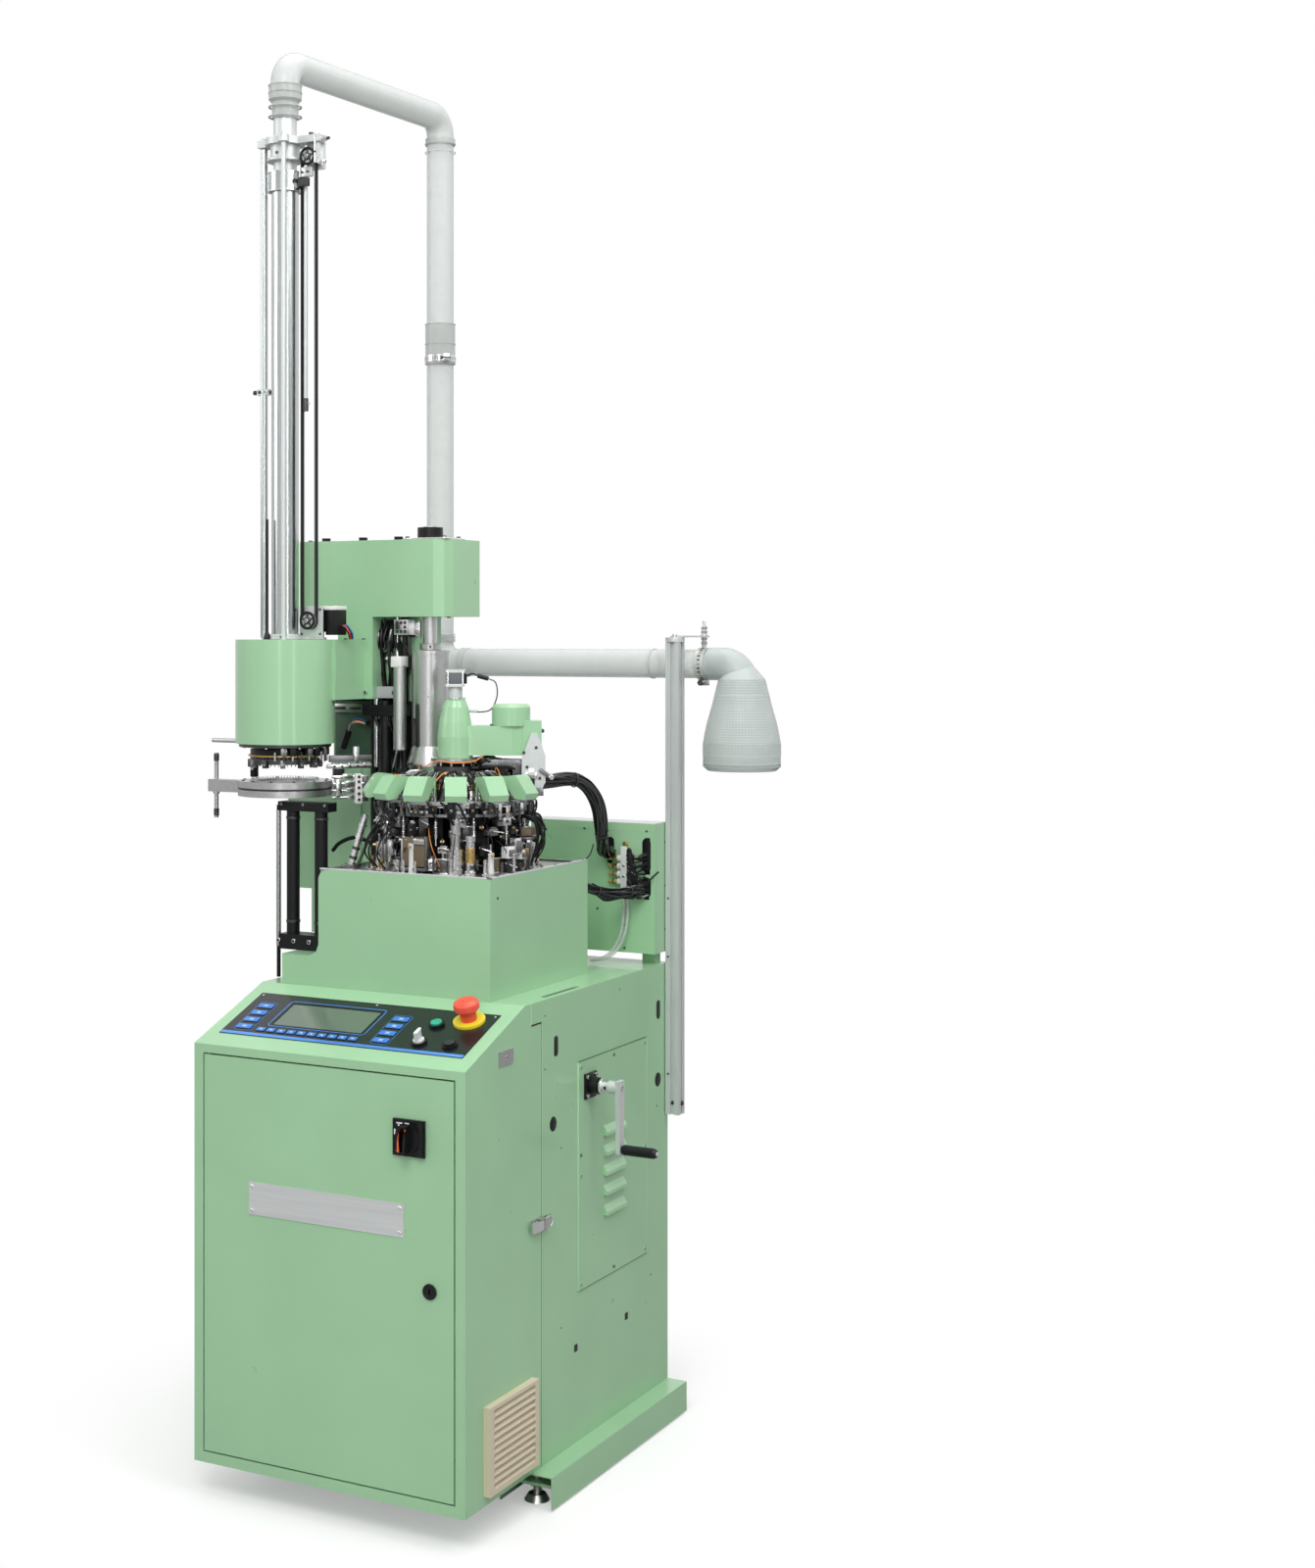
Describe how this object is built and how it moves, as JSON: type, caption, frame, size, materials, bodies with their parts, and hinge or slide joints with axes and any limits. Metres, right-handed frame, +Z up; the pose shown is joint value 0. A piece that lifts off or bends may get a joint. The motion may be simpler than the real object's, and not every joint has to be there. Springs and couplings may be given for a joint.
{
  "type": "industrial knitting machine",
  "caption": "Single-cylinder sock knitting machine with a toe-linking station, clear suction pipes, a steel cabinet with door and control slope, and a hand crank",
  "frame": {"origin": "on the floor under the middle of the machine's bounding box", "axes": "+X to the operator's right when facing the door, +Y to the rear, +Z up"},
  "size_m": [1.014, 1.02, 2.79],
  "materials": {
    "green_paint": "semi-gloss pale green machine enamel",
    "black_paint": "satin black",
    "machined_steel": "ground steel",
    "chrome": "polished",
    "aluminium": "satin anodised",
    "tube_metal": "drawn tube",
    "name_plate_metal": "brushed, bare",
    "black_plastic": "fine grain",
    "orange_plastic": "moulded",
    "membrane": "printed film",
    "display": "LCD under film",
    "yellow_plastic": "moulded",
    "green_plastic": "moulded",
    "silver_plastic": "moulded",
    "red_plastic": "moulded",
    "beige_plastic": "moulded",
    "belt_rubber": "toothed belt",
    "clear_pipe": "clear acrylic pipe",
    "clear_sleeve": "clear glued sleeves",
    "clear_bell": "moulded clear bell",
    "motor_grey": "grey enamel",
    "unit_grey": "light grey enamel",
    "cable_black": "sheathed wires"
  },
  "bodies": {
    "root": {"base_frame": "green_paint", "levelling_feet": "machined_steel", "cabinet_shell": "green_paint", "control_panel": "membrane", "display_screen": "display", "control_bezels": "black_plastic", "stop_bezel": "yellow_plastic", "vent_grille": "beige_plastic", "body_shell": "green_paint", "side_access_panel": "green_paint", "crank_bracket": "aluminium", "side_plates": "chrome", "bed_box": "green_paint", "bed_plate": "machined_steel", "feeder_ring": "machined_steel", "yarn_finger_covers": "green_paint", "selector_units": "black_paint", "dial_arm_cover": "green_paint", "dial_arm_bracket": "aluminium", "rear_column": "green_paint", "gear_housing": "green_paint", "housing_caps": "black_paint", "lift_posts": "black_paint", "linking_housing": "green_paint", "linking_bearing": "machined_steel", "stand_columns": "black_paint", "guide_frame": "aluminium", "lift_belt": "belt_rubber", "lift_motor": "black_paint", "suction_pipes": "clear_pipe", "pipe_couplings": "clear_sleeve", "delivery_bell": "clear_bell", "support_post": "aluminium", "rear_cable_box": "green_paint", "air_manifold": "aluminium", "main_motor": "motor_grey", "control_unit": "unit_grey", "head_cable_bundle": "cable_black", "rear_cable_bundle": "cable_black"},
    "door": {"cabinet_door": "green_paint", "name_plate": "name_plate_metal", "main_switch_plate": "black_plastic"},
    "lock": {"door_lock": "black_plastic"},
    "main_switch": {"main_switch_handle": "orange_plastic"},
    "start_key": {"start_button": "green_plastic"},
    "reset_key": {"reset_button": "black_plastic"},
    "stop_key": {"stop_button": "red_plastic"},
    "selector": {"selector_knob": "silver_plastic"},
    "latch": {"latch_lever": "chrome"},
    "cylinder": {"needle_cylinder": "machined_steel"},
    "dial": {"dial_plate": "machined_steel"},
    "motor": {"motor_pulley": "machined_steel"},
    "crank": {"hand_crank": "aluminium"},
    "grip": {"crank_grip": "black_plastic"},
    "transfer": {"transfer_cylinder": "chrome"},
    "link_head": {"linking_head": "black_paint"},
    "pickup": {"pickup_ring": "machined_steel"},
    "tube": {"suction_tube": "tube_metal"},
    "idler": {"idler_pulley": "aluminium"},
    "driver": {"drive_pulley": "aluminium"}
  },
  "joints": [
    {"name": "door_swing", "type": "hinge", "parent": "root", "child": "door", "pos_m": [-0.272, -0.475, 0.45], "axis": [0, 0, -1], "range_deg": [0, 105]},
    {"name": "door_lock_turn", "type": "hinge", "parent": "door", "child": "lock", "pos_m": [0.209, -0.481, 0.453], "axis": [0, -1, 0], "range_deg": [0, 90]},
    {"name": "main_switch_turn", "type": "hinge", "parent": "door", "child": "main_switch", "pos_m": [0.168, -0.481, 0.72], "axis": [0, 1, 0], "range_deg": [0, 90]},
    {"name": "start_press", "type": "slide", "parent": "root", "child": "start_key", "axis": [0, 0.3484, -0.9373], "range_m": [0, 0.0025], "stiffness_N_per_m": 600, "springref_m": -0.0005},
    {"name": "reset_press", "type": "slide", "parent": "root", "child": "reset_key", "axis": [0, 0.3484, -0.9373], "range_m": [0, 0.0025], "stiffness_N_per_m": 600, "springref_m": -0.0005},
    {"name": "emergency_stop_press", "type": "slide", "parent": "root", "child": "stop_key", "axis": [0, 0.3484, -0.9373], "range_m": [0, 0.0025], "stiffness_N_per_m": 1500, "springref_m": -0.0005},
    {"name": "mode_select", "type": "hinge", "parent": "root", "child": "selector", "pos_m": [0.145, -0.40882, 0.87283], "axis": [0, -0.3484, 0.9373], "range_deg": [-45, 45]},
    {"name": "latch_flip", "type": "hinge", "parent": "root", "child": "latch", "pos_m": [0.288, -0.204, 0.518], "axis": [0, 0, 1], "range_deg": [0, 100]},
    {"name": "cylinder_turn", "type": "hinge", "parent": "root", "child": "cylinder", "pos_m": [0.018, -0.051, 1], "axis": [0, 0, 1], "continuous": true},
    {"name": "dial_turn", "type": "hinge", "parent": "root", "child": "dial", "pos_m": [0.018, -0.051, 1.33], "axis": [0, 0, 1], "continuous": true},
    {"name": "motor_turn", "type": "hinge", "parent": "root", "child": "motor", "pos_m": [0.018, 0.189, 0.8], "axis": [0, 0, 1], "continuous": true},
    {"name": "crank_turn", "type": "hinge", "parent": "root", "child": "crank", "pos_m": [0.28, 0.011, 0.739], "axis": [1, 0, 0], "continuous": true},
    {"name": "crank_grip_spin", "type": "hinge", "parent": "crank", "child": "grip", "pos_m": [0.36, 0.011, 0.621], "axis": [1, 0, 0], "continuous": true},
    {"name": "transfer_lift", "type": "slide", "parent": "root", "child": "transfer", "axis": [0, 0, 1], "range_m": [0, 0.045]},
    {"name": "linking_head_turn", "type": "hinge", "parent": "root", "child": "link_head", "pos_m": [-0.326, -0.138, 1.4], "axis": [0, 0, 1], "continuous": true},
    {"name": "pickup_swing", "type": "hinge", "parent": "root", "child": "pickup", "pos_m": [-0.181, 0.012, 1.3], "axis": [0, 0, 1], "range_deg": [-30, 25]},
    {"name": "tube_lower", "type": "slide", "parent": "root", "child": "tube", "axis": [0, 0, -1], "range_m": [0, 0.235]},
    {"name": "idler_turn", "type": "hinge", "parent": "root", "child": "idler", "pos_m": [-0.268, -0.138, 2.567], "axis": [0, -1, 0], "range_deg": [0, 792]},
    {"name": "driver_turn", "type": "hinge", "parent": "root", "child": "driver", "pos_m": [-0.268, -0.138, 1.639], "axis": [0, -1, 0], "range_deg": [0, 792]}
  ],
  "couplings": [
    {"joint": "dial_turn", "follows": "cylinder_turn", "ratio": 1},
    {"joint": "motor_turn", "follows": "cylinder_turn", "ratio": 2},
    {"joint": "crank_turn", "follows": "cylinder_turn", "ratio": 1},
    {"joint": "idler_turn", "follows": "tube_lower", "rad_per_m": 58.82},
    {"joint": "driver_turn", "follows": "tube_lower", "rad_per_m": 58.82}
  ]
}
